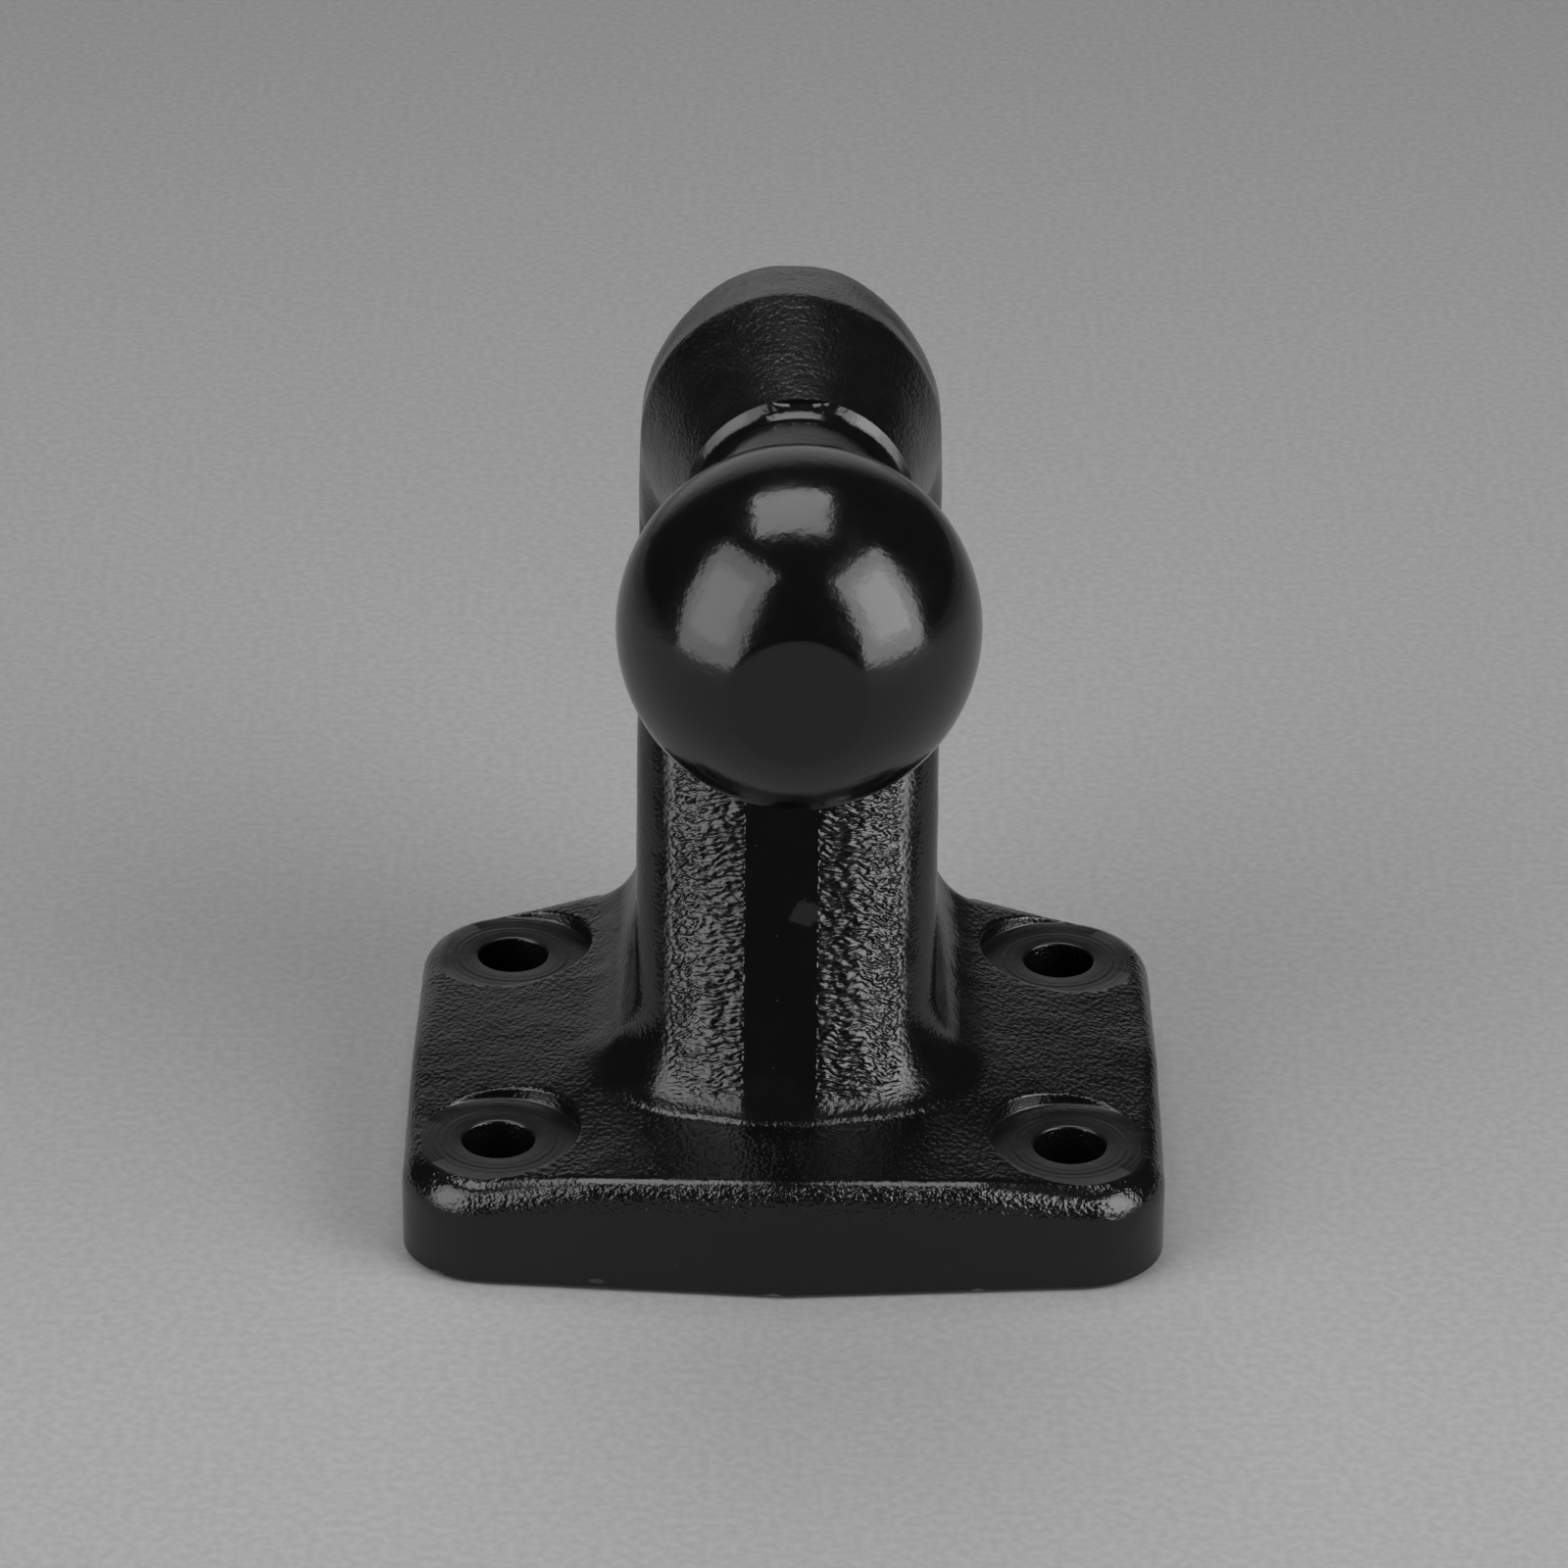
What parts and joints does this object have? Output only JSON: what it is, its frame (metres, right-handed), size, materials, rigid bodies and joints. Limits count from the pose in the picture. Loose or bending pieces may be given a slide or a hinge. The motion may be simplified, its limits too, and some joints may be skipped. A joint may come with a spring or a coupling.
{
  "type": "flange-mounted tow ball",
  "caption": "One-piece forged towing hook: a turned coupling ball on a goose-neck arm that stands on a rectangular bolt-on flange.",
  "frame": {"origin": "centre of the bolt pattern, on the flange's mounting face", "axes": "+Z away from the mounting face through the neck, -Y towards the ball and out along its turned axis, +X across the flange to the right as seen from the ball"},
  "size_m": [0.1108, 0.121, 0.135],
  "materials": {
    "coated_forging": "black semi-gloss coating over rough forged steel, glossy on the turned ball, neck and bolt seats"
  },
  "bodies": {
    "root": {"flanged_tow_ball": "coated_forging"}
  },
  "joints": []
}
